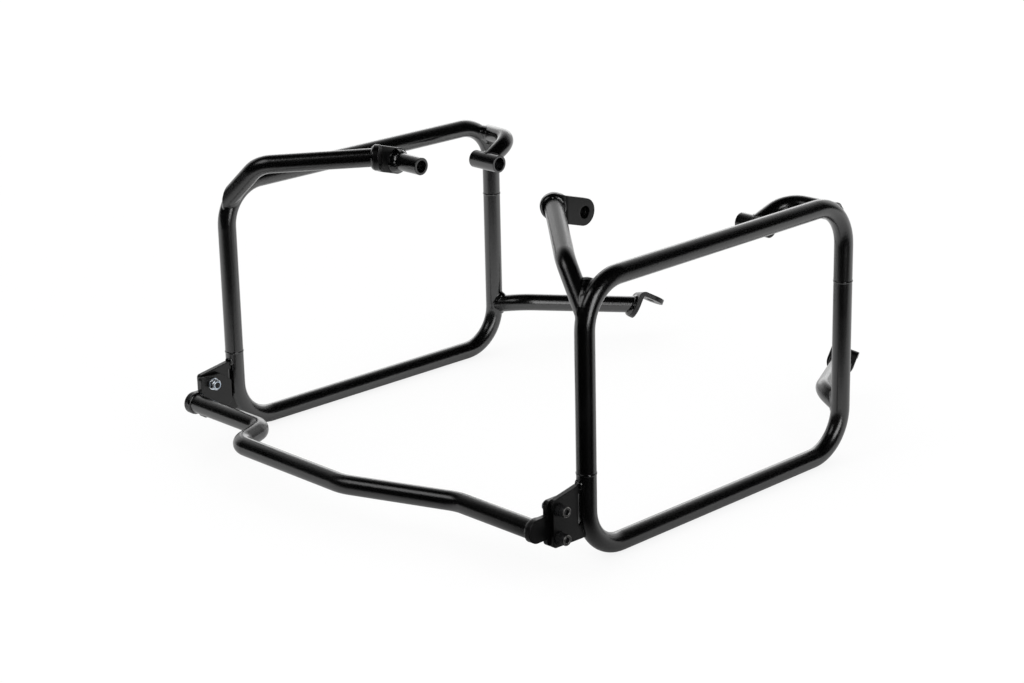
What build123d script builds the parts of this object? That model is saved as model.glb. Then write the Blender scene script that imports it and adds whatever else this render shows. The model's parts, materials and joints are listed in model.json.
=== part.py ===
from build123d import *
from math import atan2, cos, degrees, radians, sin, tan
import os

# Pannier frame of a motorbike, in millimetres.
# +X is the bike's right, +Y its front and +Z up. X = 0 is the bike's middle plane.
# The hoops stand on Z = 0, and heights are measured from there.
# Insets, leads, setbacks, rises and drops are measured from the hoops.

# Tube stock
tube_diameter = 18.0
tube_wall = 2.0
cope_clearance = 0.1
cope_depth = 5.5

# Hoops, between the centre lines of their tubes
hoop_length = 353.0
hoop_height = 246.0
hoop_spacing = 485.0
hoop_toe = 0.75
hoop_bend_radius = 42.0
rear_seam_height = 85.0
front_seam_drop = 78.0

# Rear arms, which join the hoop's bend higher up on the left
left_rear_joint_angle = 34.0
right_rear_joint_angle = 18.8
left_rear_joint_offset = 6.3
right_rear_joint_offset = 0.2
rear_arm_corner_inset = 34.0
rear_arm_corner_lead = 14.6
rear_arm_corner_rise = 39.0
rear_arm_bend_radius = 28.0
rear_arm_end_inset = 120.9
rear_arm_end_lead = 88.3
left_rear_arm_end_rise = 31.8
right_rear_arm_end_rise = 26.8

# Rear straps and their spigots
strap_thickness = 5.0
strap_bend_radius = 4.5
rear_strap_width = 25.2
rear_strap_corner = 11.0
rear_hole_reach = 23.4
rear_hole_drop = 10.0
spigot_diameter = 17.0
spigot_bore = 12.0
spigot_length = 33.0

# Front arms and their bosses
front_joint_angle = 48.0
front_joint_offset = 5.5
front_arm_corner_inset = 54.5
front_arm_corner_setback = 21.5
front_arm_corner_drop = 6.0
front_arm_bend_radius = 26.0
front_boss_inset = 60.0
front_boss_setback = 59.5
front_boss_drop = 21.9
front_boss_diameter = 18.0
front_boss_bore = 13.5
front_boss_length = 36.0

# Peg arms and their straps
peg_joint_height = 51.8
peg_arm_corner_inset = 33.1
peg_arm_corner_lead = 11.8
peg_arm_corner_height = 57.9
peg_arm_bend_radius = 40.0
peg_arm_end_inset = 97.5
peg_arm_end_lead = 118.9
peg_arm_end_height = 43.6
peg_strap_width = 28.0
peg_strap_corner = 17.0
peg_tab_lean = 32.5
peg_hole_reach = 17.0
peg_hole_diameter = 9.0

# Cross bar and the plates that bolt it on
bar_height = 46.4
bar_setback = 47.4
bar_crank_depth = 42.1
bar_left_crank_outer = 131.8
bar_left_crank_inner = 116.4
bar_right_crank_inner = 33.5
bar_right_crank_outer = 141.4
bar_tight_bend_radius = 17.0
bar_wide_bend_radius = 40.0
plate_thickness = 5.0
gusset_inset = 1.5
gusset_rise = 2.9
bar_plate_half_height = 20.8
bar_plate_gap = 3.5
left_bar_plate_length = 36.5
right_bar_plate_length = 32.5
bar_plate_chamfer_length = 13.0
bar_plate_nose_half_height = 11.0
bar_plate_lobe_radius = 10.8
bar_plate_corner_radius = 4.0
left_gusset_reach = 37.5
right_gusset_reach = 33.5
gusset_rear_half_height = 21.8
gusset_tube_rise = 28.2
gusset_tube_drop = 22.7
gusset_corner_radius = 3.0
gusset_slot_width = 2.8
gusset_slot_rise = 20.0
gusset_slot_drop = 10.0

# Fasteners
bolt_setback = 25.8
bolt_rise = 2.0
bolt_pitch = 26.0
bolt_diameter = 6.0
bolt_hole_clearance = 0.6
bolt_length = 22.0
bolt_head_diameter = 10.0
bolt_head_height = 6.0
bolt_head_edge = 0.6
bolt_socket_width = 5.0
bolt_socket_depth = 3.0
washer_diameter = 12.0
washer_clearance = 0.4
washer_thickness = 1.6
spring_washer_diameter = 10.8
spring_washer_thickness = 1.7
spring_washer_gap = 0.9
nut_width = 10.0
nut_height = 6.0
nut_collar_diameter = 9.0
nut_collar_height = 1.4
nut_collar_edge = 0.7
nut_clearance = 0.3

sides = {"left": -1, "right": 1}
rear_joint_angle = {"left": left_rear_joint_angle, "right": right_rear_joint_angle}
rear_joint_offset = {"left": left_rear_joint_offset, "right": right_rear_joint_offset}
rear_arm_end_rise = {"left": left_rear_arm_end_rise, "right": right_rear_arm_end_rise}
gusset_reach = {"left": left_gusset_reach, "right": right_gusset_reach}
bar_plate_length = {"left": left_bar_plate_length, "right": right_bar_plate_length}
tube_radius = tube_diameter / 2
tube_bore = tube_diameter - 2 * tube_wall
hoop_back = -hoop_length / 2
hoop_front = hoop_length / 2
hoop_bottom = tube_radius
hoop_top = hoop_bottom + hoop_height
hoop_rear_face = hoop_back - tube_radius
half_spacing = hoop_spacing / 2
front_seam_height = hoop_top - front_seam_drop
run_past = tube_diameter
strap_cut = 3 * peg_strap_width
pieces = {}


def bent_tube(points, bend_radii, outside, inside=0.0):
    """A round tube bent at each inner point of its run, or a solid bar where no inside is given."""
    with BuildPart() as tube:
        with BuildLine() as run:
            FilletPolyline(*points, radius=bend_radii)
        with BuildSketch(Plane(run.line @ 0, z_dir=run.line % 0)):
            Circle(outside / 2)
            if inside > 0:
                Circle(inside / 2, mode=Mode.SUBTRACT)
        sweep(path=run.line)
    return tube.part


def sleeve(start, direction, length, outside, inside=0.0):
    """A straight round sleeve, or a solid pin where no inside is given."""
    with BuildPart() as tube:
        with BuildSketch(Plane(start, z_dir=direction)):
            Circle(outside / 2)
            if inside > 0:
                Circle(inside / 2, mode=Mode.SUBTRACT)
        extrude(amount=length)
    return tube.part


def longer(start, toward, extra):
    """The start of a run moved back, away from its next point."""
    return start - (toward - start).normalized() * extra


def hoop_plane(side, outward=0.0):
    """The plane of a hoop, or one beside it, drawn on with the way forward and the height."""
    toe = radians(hoop_toe)
    facing = Vector(cos(toe), side * sin(toe), 0)
    middle = Vector(side * half_spacing, 0, 0) + facing * (side * outward)
    return Plane(middle, x_dir=(-side * sin(toe), cos(toe), 0), z_dir=facing)


def on_hoop(side, lead, height):
    """A point on the plane of a hoop."""
    return hoop_plane(side).from_local_coords(Vector(lead, height, 0))


def beside_hoop(side, inset, lead, height):
    """A point set in from a hoop towards the bike's middle plane."""
    return Vector(side * (half_spacing - inset), lead, height)


def inner_side(side, outward):
    """What of a plane beside a hoop is nearer the bike, as the side of it to keep."""
    plane = hoop_plane(side, outward)
    return {"bisect_by": plane, "keep": Keep.BOTTOM if side > 0 else Keep.TOP}


def strap_corner(foot, tube_way, tab_normal, corner):
    """The middle of a strap's bend line on its outer faces, were the bend sharp."""
    up_leg = (tab_normal - tube_way * tab_normal.dot(tube_way)).normalized()
    return foot + up_leg * corner


def bent_strap(foot, tube_way, tab_normal, corner, bolt_point, width, hole_diameter):
    """A flat strap bent once: one leg square across a tube's end, the other square to its bolt."""
    up_leg = (tab_normal - tube_way * tab_normal.dot(tube_way)).normalized()
    down_tab = (tube_way - tab_normal * tube_way.dot(tab_normal)).normalized()
    bend_line = up_leg.cross(tube_way)
    bend_angle = radians(up_leg.get_angle(down_tab))
    middle_corner = corner - strap_thickness / 2 * tan(bend_angle / 2)
    section = Plane(foot, x_dir=up_leg, z_dir=bend_line)
    foot_leg = Plane(foot, x_dir=up_leg, z_dir=-tube_way)
    tab = Plane(foot + up_leg * corner, x_dir=down_tab, z_dir=tab_normal)
    hole_spot = tab.to_local_coords(bolt_point)
    slant = atan2(hole_spot.Y, corner + hole_spot.X)
    slant_way = Vector(cos(slant), sin(slant))
    hole_centre = Vector(hole_spot.X, hole_spot.Y)
    with BuildPart() as strap:
        with BuildLine(section) as run:
            FilletPolyline(
                (-width, strap_thickness / 2),
                (middle_corner, strap_thickness / 2),
                (
                    middle_corner + strap_cut * cos(bend_angle),
                    strap_thickness / 2 + strap_cut * sin(bend_angle),
                ),
                radius=strap_bend_radius,
            )
        with BuildSketch(Plane(run.line @ 0, x_dir=bend_line, z_dir=run.line % 0)):
            Rectangle(strap_cut, strap_thickness)
        sweep(path=run.line)
        with BuildSketch(foot_leg):
            with Locations(slant_way * strap_cut / 2):
                SlotCenterToCenter(strap_cut, width, rotation=degrees(slant))
            with Locations((corner, 0)):
                Rectangle(2 * strap_cut, strap_cut, align=(Align.MIN, Align.CENTER))
        extrude(amount=2 * strap_cut, both=True, mode=Mode.INTERSECT)
        with BuildSketch(tab):
            with Locations(hole_centre - slant_way * strap_cut / 2):
                SlotCenterToCenter(strap_cut, width, rotation=degrees(slant))
            Rectangle(2 * strap_cut, strap_cut, align=(Align.MAX, Align.CENTER))
        extrude(amount=2 * strap_cut, both=True, mode=Mode.INTERSECT)
        with BuildSketch(tab):
            with Locations(hole_centre):
                Circle(hole_diameter / 2)
        extrude(amount=2 * strap_thickness, both=True, mode=Mode.SUBTRACT)
    return strap.part


# Hoops
hoop_bars = {}
for name, side in sides.items():
    runs = {}
    for half, level in {"upper": hoop_top, "lower": hoop_bottom}.items():
        runs[half] = [
            on_hoop(side, hoop_back, rear_seam_height),
            on_hoop(side, hoop_back, level),
            on_hoop(side, hoop_front, level),
            on_hoop(side, hoop_front, front_seam_height),
        ]
        hoop_bars[name, half] = bent_tube(runs[half], hoop_bend_radius, tube_diameter + 2 * cope_clearance)
    with BuildPart() as hoop_upper:
        add(bent_tube(runs["upper"], hoop_bend_radius, tube_diameter, tube_bore))
    pieces[f"{name}_hoop_upper"] = hoop_upper.part
    with BuildPart() as hoop_lower:
        add(bent_tube(runs["lower"], hoop_bend_radius, tube_diameter, tube_bore))
    pieces[f"{name}_hoop_lower"] = hoop_lower.part

# Rear arms with their straps and spigots
for name, side in sides.items():
    angle = radians(rear_joint_angle[name])
    joint_radius = hoop_bend_radius + rear_joint_offset[name]
    joint = on_hoop(
        side,
        hoop_back + hoop_bend_radius - joint_radius * cos(angle),
        hoop_top - hoop_bend_radius + joint_radius * sin(angle),
    )
    corner_height = joint.Z + rear_arm_corner_rise
    end_height = hoop_top + rear_arm_end_rise[name]
    corner = beside_hoop(side, rear_arm_corner_inset, hoop_back + rear_arm_corner_lead, corner_height)
    end = beside_hoop(side, rear_arm_end_inset, hoop_back + rear_arm_end_lead, end_height)
    way = Vector(end.X - corner.X, end.Y - corner.Y, 0).normalized()
    outward = Vector(side, 0, 0)
    crease = strap_corner(end, way, outward, rear_strap_corner)
    bolt_point = crease + Vector(0, rear_hole_reach, -rear_hole_drop)
    tab_inner = bolt_point - outward * strap_thickness
    with BuildPart() as rear_arm:
        run = [longer(joint, corner, run_past), corner, longer(end, corner, run_past)]
        add(bent_tube(run, rear_arm_bend_radius, tube_diameter, tube_bore))
        split(bisect_by=Plane(end, z_dir=way), keep=Keep.BOTTOM)
        split(**inner_side(side, cope_depth - tube_radius))
        add(hoop_bars[name, "upper"], mode=Mode.SUBTRACT)
    pieces[f"{name}_rear_arm"] = rear_arm.part
    with BuildPart() as rear_strap:
        add(
            bent_strap(
                end, way, outward, rear_strap_corner, bolt_point, rear_strap_width, spigot_bore
            )
        )
    pieces[f"{name}_rear_strap"] = rear_strap.part
    with BuildPart() as spigot:
        add(sleeve(tab_inner, -outward, spigot_length, spigot_diameter, spigot_bore))
    pieces[f"{name}_spigot"] = spigot.part

# Front arms with their bosses
for name, side in sides.items():
    angle = radians(front_joint_angle)
    joint_radius = hoop_bend_radius + front_joint_offset
    joint = on_hoop(
        side,
        hoop_front - hoop_bend_radius + joint_radius * sin(angle),
        hoop_top - hoop_bend_radius + joint_radius * cos(angle),
    )
    corner_lead = hoop_front - front_arm_corner_setback
    corner = beside_hoop(side, front_arm_corner_inset, corner_lead, hoop_top - front_arm_corner_drop)
    boss_lead = hoop_front - front_boss_setback
    end = beside_hoop(side, front_boss_inset, boss_lead, hoop_top - front_boss_drop)
    boss_start = end - Vector(side * front_boss_length / 2, 0, 0)
    with BuildPart() as front_arm:
        run = [longer(joint, corner, run_past), corner, end]
        add(bent_tube(run, front_arm_bend_radius, tube_diameter, tube_bore))
        split(**inner_side(side, cope_depth - tube_radius))
        add(hoop_bars[name, "upper"], mode=Mode.SUBTRACT)
        boss_bar = front_boss_diameter + 2 * cope_clearance
        add(sleeve(boss_start, (side, 0, 0), front_boss_length, boss_bar), mode=Mode.SUBTRACT)
    pieces[f"{name}_front_arm"] = front_arm.part
    with BuildPart() as front_boss:
        add(
            sleeve(
                boss_start, (side, 0, 0), front_boss_length, front_boss_diameter, front_boss_bore
            )
        )
    pieces[f"{name}_front_boss"] = front_boss.part

# Peg arms with their straps
for name, side in sides.items():
    joint = on_hoop(side, hoop_front, peg_joint_height)
    corner_lead = hoop_front + peg_arm_corner_lead
    corner = beside_hoop(side, peg_arm_corner_inset, corner_lead, peg_arm_corner_height)
    end = beside_hoop(side, peg_arm_end_inset, hoop_front + peg_arm_end_lead, peg_arm_end_height)
    lean = radians(peg_tab_lean)
    tab_normal = Vector(0, sin(lean), cos(lean))
    run_way = end - corner
    way = (run_way - tab_normal * run_way.dot(tab_normal)).normalized()
    crease = strap_corner(end, way, tab_normal, peg_strap_corner)
    bolt_point = crease + way * peg_hole_reach
    with BuildPart() as peg_arm:
        run = [longer(joint, corner, run_past), corner, longer(end, corner, run_past)]
        add(bent_tube(run, peg_arm_bend_radius, tube_diameter, tube_bore))
        split(bisect_by=Plane(end, z_dir=way), keep=Keep.BOTTOM)
        split(**inner_side(side, cope_depth - tube_radius))
        add(hoop_bars[name, "lower"], mode=Mode.SUBTRACT)
    pieces[f"{name}_peg_arm"] = peg_arm.part
    with BuildPart() as peg_strap:
        add(
            bent_strap(
                end, way, tab_normal, peg_strap_corner, bolt_point, peg_strap_width, peg_hole_diameter
            )
        )
    pieces[f"{name}_peg_strap"] = peg_strap.part

# Cross bar
bar_lead = hoop_rear_face - bar_setback
crank_lead = bar_lead - bar_crank_depth
gusset_outside = plate_thickness / 2 - gusset_inset
plate_inside = gusset_outside - 2 * plate_thickness
with BuildPart() as cross_bar:
    run = [
        (-half_spacing, bar_lead, bar_height),
        (-bar_left_crank_outer, bar_lead, bar_height),
        (-bar_left_crank_inner, crank_lead, bar_height),
        (bar_right_crank_inner, crank_lead, bar_height),
        (bar_right_crank_outer, bar_lead, bar_height),
        (half_spacing, bar_lead, bar_height),
    ]
    bends = [bar_tight_bend_radius] * 2 + [bar_wide_bend_radius] * 2
    add(bent_tube(run, bends, tube_diameter, tube_bore))
    for side in sides.values():
        split(**inner_side(side, plate_inside))
pieces["cross_bar"] = cross_bar.part

# Gussets on the hoops and plates on the bar's ends
gusset_middle = bar_height + gusset_rise
bolt_middle = bar_height + bolt_rise
bolt_lead = hoop_rear_face - bolt_setback
bolt_spots = [(bolt_lead, bolt_middle - bolt_pitch / 2), (bolt_lead, bolt_middle + bolt_pitch / 2)]
bolt_hole_diameter = bolt_diameter + bolt_hole_clearance
plate_front = hoop_rear_face - bar_plate_gap
for name, side in sides.items():
    gusset_rear = hoop_rear_face - gusset_reach[name]
    plate_rear = plate_front - bar_plate_length[name]
    with BuildPart() as gusset:
        with BuildSketch(hoop_plane(side, -gusset_inset)):
            with BuildLine():
                FilletPolyline(
                    (hoop_back, gusset_middle + gusset_tube_rise),
                    (hoop_rear_face, gusset_middle + gusset_tube_rise),
                    (gusset_rear, gusset_middle + gusset_rear_half_height),
                    (gusset_rear, gusset_middle - gusset_rear_half_height),
                    (hoop_rear_face, gusset_middle - gusset_tube_drop),
                    (hoop_back + hoop_bend_radius, gusset_middle - gusset_tube_drop),
                    radius=[gusset_corner_radius] * 4,
                )
                Line(
                    (hoop_back + hoop_bend_radius, gusset_middle - gusset_tube_drop),
                    (hoop_back, gusset_middle + gusset_tube_rise),
                )
            make_face()
            with Locations((0, hoop_bottom + hoop_height / 2)):
                RectangleRounded(hoop_length, hoop_height, hoop_bend_radius, mode=Mode.SUBTRACT)
            with Locations(*bolt_spots):
                Circle(bolt_hole_diameter / 2, mode=Mode.SUBTRACT)
            slot_middle = gusset_middle + (gusset_slot_rise - gusset_slot_drop) / 2
            with Locations((hoop_rear_face, slot_middle)):
                Rectangle(
                    2 * gusset_slot_width, gusset_slot_rise + gusset_slot_drop, mode=Mode.SUBTRACT
                )
        extrude(amount=plate_thickness / 2, both=True)
        add(hoop_bars[name, "lower"], mode=Mode.SUBTRACT)
    pieces[f"{name}_gusset"] = gusset.part
    with BuildPart() as bar_plate:
        with BuildSketch(hoop_plane(side, -gusset_inset - plate_thickness)):
            with BuildLine():
                FilletPolyline(
                    (plate_rear, gusset_middle - bar_plate_half_height),
                    (plate_front - bar_plate_chamfer_length, gusset_middle - bar_plate_half_height),
                    (plate_front, gusset_middle - bar_plate_nose_half_height),
                    (plate_front, gusset_middle + bar_plate_nose_half_height),
                    (plate_front - bar_plate_chamfer_length, gusset_middle + bar_plate_half_height),
                    (plate_rear, gusset_middle + bar_plate_half_height),
                    radius=bar_plate_corner_radius,
                    close=True,
                )
            make_face()
            tongue_length = plate_rear + bar_plate_corner_radius - bar_lead
            with Locations((bar_lead, bar_height)):
                Circle(bar_plate_lobe_radius)
                Rectangle(tongue_length, 2 * bar_plate_lobe_radius, align=(Align.MIN, Align.CENTER))
            with Locations(*bolt_spots):
                Circle(bolt_hole_diameter / 2, mode=Mode.SUBTRACT)
        extrude(amount=plate_thickness / 2, both=True)
    pieces[f"{name}_bar_plate"] = bar_plate.part

# Bolts, washers, spring washers and lock nuts, two of each a side
spring_seat = gusset_outside + washer_thickness
head_seat = spring_seat + spring_washer_thickness
nut_seat = plate_inside - washer_thickness
washer_bore = bolt_diameter + washer_clearance
nut_bore = bolt_diameter + nut_clearance
for name, side in sides.items():

    def stack(outward):
        """One plane on each bolt's axis, facing away from the bike."""
        base = hoop_plane(side, outward)
        facing = base.z_dir * side
        return [Plane(base.from_local_coords(Vector(*spot, 0)), z_dir=facing) for spot in bolt_spots]

    outward_way = Axis((0, 0, 0), (side, 0, 0))
    with BuildPart() as bolts:
        with BuildSketch(*stack(head_seat)):
            Circle(bolt_head_diameter / 2)
        extrude(amount=bolt_head_height)
        chamfer(bolts.faces().sort_by(outward_way)[-2:].edges(), bolt_head_edge)
        with BuildSketch(*stack(head_seat)):
            Circle(bolt_diameter / 2)
        extrude(amount=-bolt_length)
        with BuildSketch(*stack(head_seat + bolt_head_height)):
            RegularPolygon(bolt_socket_width / 2, 6, major_radius=False)
        extrude(amount=-bolt_socket_depth, mode=Mode.SUBTRACT)
    pieces[f"{name}_bolts"] = bolts.part
    with BuildPart() as head_washers:
        with BuildSketch(*stack(gusset_outside)):
            Circle(washer_diameter / 2)
            Circle(washer_bore / 2, mode=Mode.SUBTRACT)
        extrude(amount=washer_thickness)
    pieces[f"{name}_head_washers"] = head_washers.part
    with BuildPart() as spring_washers:
        with BuildSketch(*stack(spring_seat)):
            Circle(spring_washer_diameter / 2)
            Circle(washer_bore / 2, mode=Mode.SUBTRACT)
            with Locations((spring_washer_diameter / 2, 0)):
                Rectangle(spring_washer_diameter, spring_washer_gap, mode=Mode.SUBTRACT)
        extrude(amount=spring_washer_thickness)
    pieces[f"{name}_spring_washers"] = spring_washers.part
    with BuildPart() as nut_washers:
        with BuildSketch(*stack(plate_inside)):
            Circle(washer_diameter / 2)
            Circle(washer_bore / 2, mode=Mode.SUBTRACT)
        extrude(amount=-washer_thickness)
    pieces[f"{name}_nut_washers"] = nut_washers.part
    with BuildPart() as lock_nuts:
        with BuildSketch(*stack(nut_seat)):
            RegularPolygon(nut_width / 2, 6, major_radius=False)
        extrude(amount=nut_collar_height - nut_height)
        with BuildSketch(*stack(nut_seat - nut_height + nut_collar_height)):
            Circle(nut_collar_diameter / 2)
        extrude(amount=-nut_collar_height)
        fillet(lock_nuts.faces().sort_by(outward_way)[:2].edges(), nut_collar_edge)
        with BuildSketch(*stack(nut_seat)):
            Circle(nut_bore / 2)
        extrude(amount=-nut_height, mode=Mode.SUBTRACT)
    pieces[f"{name}_lock_nuts"] = lock_nuts.part

# The pieces move along Y so that the frame's box is centred on the origin
box = Compound(list(pieces.values())).bounding_box()
centring = Location((0, -box.center().Y, 0))
os.makedirs("parts", exist_ok=True)
for node, piece in pieces.items():
    centred = piece.moved(centring)
    centred.label = node
    export_step(centred, f"parts/{node}.step")
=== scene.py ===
import json
import math
import random
from contextlib import contextmanager

import bmesh
import bpy
from mathutils import Matrix, Vector
from mathutils.bvhtree import BVHTree


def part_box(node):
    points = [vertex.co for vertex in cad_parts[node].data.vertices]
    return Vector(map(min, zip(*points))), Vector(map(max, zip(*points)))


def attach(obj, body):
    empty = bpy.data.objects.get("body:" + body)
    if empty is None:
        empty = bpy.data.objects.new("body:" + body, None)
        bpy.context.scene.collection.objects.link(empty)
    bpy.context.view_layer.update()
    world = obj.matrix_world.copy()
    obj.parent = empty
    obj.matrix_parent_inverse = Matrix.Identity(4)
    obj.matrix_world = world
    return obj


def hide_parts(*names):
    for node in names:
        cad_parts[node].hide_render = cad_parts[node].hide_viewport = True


bl_info = {
    "name": "Pannier frame dressing",
    "version": (1, 0, 0),
    "blender": (4, 5, 0),
    "location": "3D View > Sidebar > Pannier frame",
    "description": "Weld beads, fasteners, finishes and a studio for a motorbike's pannier frame",
    "category": "Object",
}

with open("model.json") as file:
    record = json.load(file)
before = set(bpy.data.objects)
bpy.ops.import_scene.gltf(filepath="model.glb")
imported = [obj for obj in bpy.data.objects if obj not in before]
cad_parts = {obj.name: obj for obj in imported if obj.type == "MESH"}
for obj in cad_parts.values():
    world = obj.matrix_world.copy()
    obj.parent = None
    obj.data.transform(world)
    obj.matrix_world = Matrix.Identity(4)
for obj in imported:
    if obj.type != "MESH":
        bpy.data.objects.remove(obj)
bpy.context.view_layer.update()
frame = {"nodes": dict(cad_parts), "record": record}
mounts = {mount["name"]: mount for mount in frame["record"]["mounts"]}
SIDES = {"left": -1, "right": 1}
UP = Vector((0.0, 0.0, 1.0))
ORIGIN = (0.0, 0.0, 0.0)
DONE = {"FINISHED"}


# Sizes and colours that a user would change


def mm(description, size):
    """A length given in millimetres and kept in metres."""
    return description, size * 0.001, {"unit": "LENGTH", "precision": 5}


def lengths(description, sizes):
    """Three lengths given in millimetres and kept in metres."""
    return description, tuple(size * 0.001 for size in sizes), {"unit": "LENGTH", "precision": 5}


def degrees(description, angle):
    """An angle given in degrees."""
    return description, math.radians(angle), {"subtype": "ANGLE"}


def share(description, value):
    """A number from nought to one."""
    return description, value, {"min": 0.0, "max": 1.0, "subtype": "FACTOR"}


def strength(description, value):
    """A plain positive number."""
    return description, value, {"min": 0.0}


def colour(description, rgb):
    """A colour without alpha."""
    return description, rgb, {"min": 0.0, "max": 1.0, "subtype": "COLOR"}


def labelled(group):
    """Makes a group's properties, each with its identifier in plain words as its name."""
    for key, (description, default, settings) in group.__annotations__.items():
        several = isinstance(default, tuple)
        maker = bpy.props.FloatVectorProperty if several else bpy.props.FloatProperty
        name = key.replace("_", " ").capitalize()
        group.__annotations__[key] = maker(name=name, description=description, default=default, **settings)
    return group


@labelled
class TubeSizes(bpy.types.PropertyGroup):
    """Where the hoops, arms and bar run, so that the welds find their joints."""

    bend_radius: mm("Bend radius of a hoop's corners", 42.0)
    hoop_length: mm("Between the centre lines of a hoop's posts", 353.0)
    toe: degrees("How far each hoop is turned outwards to the rear", 0.75)
    cope_inset: mm("How far inside the hoop's plane an arm is cut off", 3.5)
    left_rear_angle: degrees("Where the left rear arm joins the hoop's bend", 34.0)
    right_rear_angle: degrees("Where the right rear arm joins the hoop's bend", 18.8)
    left_rear_offset: mm("The left rear arm's axis outside the bend's", 6.3)
    right_rear_offset: mm("The right rear arm's axis outside the bend's", 0.2)
    rear_corner: lengths("The rear arm's corner: in, ahead of the post, above the joint", (34.0, 14.6, 39.0))
    rear_bend: mm("Bend radius of a rear arm", 28.0)
    left_rear_end: lengths("The left rear arm's end: in, ahead, above the hoop", (120.9, 88.3, 31.8))
    right_rear_end: lengths("The right rear arm's end, likewise", (120.9, 88.3, 26.8))
    front_angle: degrees("Where the front arm joins the hoop's bend", 48.0)
    front_offset: mm("The front arm's axis outside the bend's", 5.5)
    front_corner: lengths("The front arm's corner: in, ahead, above the hoop", (54.5, -21.5, -6.0))
    front_bend: mm("Bend radius of a front arm", 26.0)
    peg_joint_height: mm("Where the peg arm joins the front post", 51.8)
    peg_corner: lengths("The peg arm's corner: in, ahead of the post, above the ground", (33.1, 11.8, 57.9))
    peg_bend: mm("Bend radius of a peg arm", 40.0)
    peg_end: lengths("The peg arm's end, likewise", (97.5, 118.9, 43.6))
    bar_height: mm("The cross bar's axis above the ground", 46.4)
    bar_setback: mm("The cross bar's ends behind the rear post's axis", 56.4)
    gusset_top: mm("Height of the gusset's upper end on the post", 77.5)
    gusset_slot_foot: mm("Height of the lower end of the gusset's slot", 39.3)
    gusset_foot: mm("Height of the gusset's lower end on the hoop's bend", 26.6)
    gusset_outside: mm("The gusset's outer face outside the hoop's plane", 1.0)
    plate_thickness: mm("Thickness of the straps, gussets and plates", 5.0)


@labelled
class WeldSizes(bpy.types.PropertyGroup):
    """The weld beads, whose fillets are given by a ball that rests in the corner."""

    rear_fillet: mm("Radius of the ball in the blunt side of a rear arm's weld", 2.6)
    crotch_swell: mm("How much bigger that ball is in the crotch of a rear arm", 3.5)
    arm_fillet: mm("Radius of the ball in another arm's weld", 3.8)
    strap_fillet: mm("Radius of the ball in a strap's weld", 3.2)
    boss_fillet: mm("Radius of the ball in a boss's weld", 3.4)
    spigot_fillet: mm("Radius of the ball at a spigot's root", 6.0)
    bar_fillet: mm("Radius of the ball in the weld at the bar's plate", 2.6)
    crown: mm("How far a bead bulges beyond a straight line across it", 0.35)
    strap_crown: mm("How far a bead at a strap or at the bar's plate bulges", 0.8)
    depth: mm("Half of a bead's thickness", 1.7)
    toe: mm("How far a bead's edges run on past the lines where it rests", 0.5)
    least_width: mm("Width of a bead where its corner is almost flat", 3.0)
    pitch: mm("Distance from one ripple of a bead to the next", 1.9)
    length: mm("Length of one ripple along its bead", 5.2)
    seam_width: mm("Width of the bead round a hoop's seam", 3.6)
    seam_crown: mm("How far the seam's bead stands proud of the tube", 0.5)
    gusset_width: mm("Width of the beads at a gusset's ends", 6.0)
    gusset_crown: mm("How far the bead at a gusset's top bulges", 1.7)
    gusset_leg: mm("How far the bead at a gusset's top runs down its faces", 2.5)
    uneven: share("How much the ripples differ in size", 0.09)
    fuse: mm("Mesh size at which the ripples are fused into one bead", 0.45)
    blend_fuse: mm("Mesh size at which an arm's bead is blended with its tubes", 0.6)
    blend_run: mm("How much straight tube is blended at each end of a hoop's bend", 24.0)


@labelled
class FastenerSizes(bpy.types.PropertyGroup):
    """The bolts and lock nuts that hold the cross bar."""

    setback: mm("The bolts' axes behind the rear post's axis", 34.8)
    middle: mm("Height midway between a side's two bolts", 48.4)
    spread: mm("Height from one bolt to the other", 26.0)
    head_seat: mm("The bolt head's seat outside the hoop's plane", 4.3)
    nut_seat: mm("The lock nut's seat inside the hoop's plane", 10.6)
    thread: mm("Outside diameter of the bolt's thread", 6.0)
    thread_pitch: mm("Distance from one turn of the thread to the next", 1.0)
    thread_depth: mm("Depth of the thread", 0.54)
    bolt_length: mm("Length of the bolt under its head", 22.0)
    head_diameter: mm("Diameter of the bolt's head", 10.0)
    head_height: mm("Height of the bolt's head", 6.0)
    head_edge: mm("Chamfer on the bolt head's rim", 0.6)
    socket_width: mm("Across the flats of the bolt's socket", 5.0)
    socket_depth: mm("Depth of the bolt's socket", 3.0)
    knurl_depth: mm("Depth of the knurl round the bolt's head", 0.18)
    nut_width: mm("Across the flats of the lock nut", 10.0)
    nut_height: mm("Height of the lock nut with its collar", 6.0)
    collar_diameter: mm("Diameter of the lock nut's collar", 9.0)
    collar_height: mm("Height of the lock nut's collar", 1.4)


@labelled
class FinishSettings(bpy.types.PropertyGroup):
    """Colours and sheens."""

    coat: colour("Colour of the powder coat", (0.0008, 0.0008, 0.0009))
    coat_rub: colour("Colour of the coat where hands have dulled it", (0.0024, 0.0024, 0.0026))
    coat_roughness: share("How matt the powder coat is", 0.22)
    plate_roughness: share("How matt the coat is on the flat plates", 0.34)
    plate_index: strength("Refractive index of the coat on the flat plates", 1.48)
    coat_index: strength("Refractive index of the powder coat", 1.8)
    weld_roughness: share("How matt the coat is on the weld beads", 0.16)
    oxide: colour("Colour of the bolts' black oxide", (0.014, 0.014, 0.015))
    bare_steel: colour("Colour of the bolts' worn rims", (0.42, 0.41, 0.4))
    zinc: colour("Colour of the nuts' zinc plate", (0.84, 0.86, 0.88))
    zinc_tint: colour("Bluish tint of the zinc plate", (0.68, 0.75, 0.84))
    nylon: colour("Colour of the lock nuts' insert", (0.55, 0.66, 0.78))


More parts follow.
